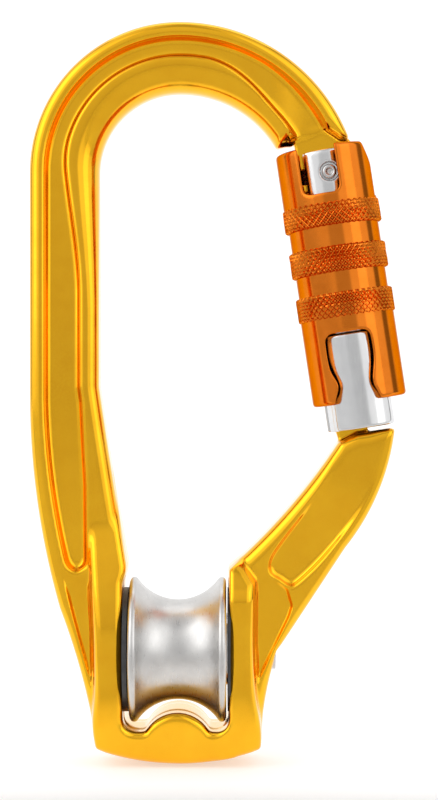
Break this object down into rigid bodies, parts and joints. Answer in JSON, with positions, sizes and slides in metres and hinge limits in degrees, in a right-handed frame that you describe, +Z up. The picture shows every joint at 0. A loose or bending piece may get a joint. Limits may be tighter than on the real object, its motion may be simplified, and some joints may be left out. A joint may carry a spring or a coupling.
{
  "type": "rope pulley",
  "caption": "Carabiner-framed rope pulley: gold forged frame, grooved ball-bearing sheave in a lower fork, sprung gate with a knurled orange locking sleeve.",
  "frame": {"origin": "centre of the sheave, on its axle", "axes": "+Z up along the spine towards the crown, +X from the spine towards the gate along the sheave's axle, +Y to the back"},
  "size_m": [0.068, 0.026, 0.133],
  "materials": {
    "gold_anodised": "polished, gold anodised",
    "silver_sheave": "turned, satin tread and polished rims",
    "silver_gate": "polished",
    "orange_anodised": "satin, orange anodised, knurled rings",
    "pin_steel": "ground stainless steel",
    "bearing_steel": "ground bearing steel",
    "cage_plastic": "moulded",
    "shield_rubber": "moulded",
    "carrier_plastic": "moulded acetal",
    "spring_steel": "drawn wire"
  },
  "bodies": {
    "frame": {"frame": "gold_anodised", "axle": "pin_steel", "thrust_washer_left": "carrier_plastic", "thrust_washer_right": "carrier_plastic", "bearing_inner_race_left": "bearing_steel", "bearing_inner_race_right": "bearing_steel", "bearing_spacer": "pin_steel", "hinge_pin": "pin_steel"},
    "sheave": {"sheave": "silver_sheave", "bearing_outer_race_left": "bearing_steel", "bearing_outer_race_right": "bearing_steel", "bearing_shield_left": "shield_rubber", "bearing_shield_right": "shield_rubber"},
    "cage_left": {"bearing_balls_left": "bearing_steel", "bearing_cage_left": "cage_plastic"},
    "cage_right": {"bearing_balls_right": "bearing_steel", "bearing_cage_right": "cage_plastic"},
    "gate": {"gate_body": "silver_gate", "latch_pin": "pin_steel", "gate_spring": "spring_steel"},
    "plunger": {"gate_plunger": "pin_steel"},
    "sleeve_carrier": {"carrier_ring": "carrier_plastic", "carrier_pin": "pin_steel", "sleeve_spring": "spring_steel"},
    "sleeve": {"locking_sleeve": "orange_anodised", "retaining_ring": "pin_steel"}
  },
  "joints": [
    {"name": "sheave_spin", "type": "hinge", "parent": "frame", "child": "sheave", "pos_m": [0, 0, 0], "axis": [1, 0, 0], "continuous": true},
    {"name": "cage_left_spin", "type": "hinge", "parent": "frame", "child": "cage_left", "pos_m": [0, 0, 0], "axis": [1, 0, 0], "continuous": true},
    {"name": "cage_right_spin", "type": "hinge", "parent": "frame", "child": "cage_right", "pos_m": [0, 0, 0], "axis": [1, 0, 0], "continuous": true},
    {"name": "gate_swing", "type": "hinge", "parent": "frame", "child": "gate", "pos_m": [0.0308, 0, 0.04198], "axis": [0, -1, 0], "range_deg": [0, 24], "stiffness_Nm_per_rad": 0.35, "springref_deg": -22.92},
    {"name": "plunger_slide", "type": "slide", "parent": "gate", "child": "plunger", "axis": [-0.1495, 0, 0.9888], "range_m": [0, 0.0008], "deforming": ["gate_spring"]},
    {"name": "sleeve_slide", "type": "slide", "parent": "gate", "child": "sleeve_carrier", "axis": [0.1495, 0, -0.9888], "range_m": [0, 0.003], "stiffness_N_per_m": 800, "springref_m": -0.003, "deforming": ["sleeve_spring"]},
    {"name": "sleeve_twist", "type": "hinge", "parent": "sleeve_carrier", "child": "sleeve", "pos_m": [0.02984, 0, 0.0657], "axis": [-0.1495, 0, 0.9888], "range_deg": [-90, 0], "stiffness_Nm_per_rad": 0.05, "springref_deg": 28.65}
  ],
  "couplings": [
    {"joint": "cage_left_spin", "follows": "sheave_spin", "ratio": 0.6},
    {"joint": "cage_right_spin", "follows": "sheave_spin", "ratio": 0.6},
    {"joint": "plunger_slide", "follows": "gate_swing", "m_per_rad": 0.001908}
  ]
}
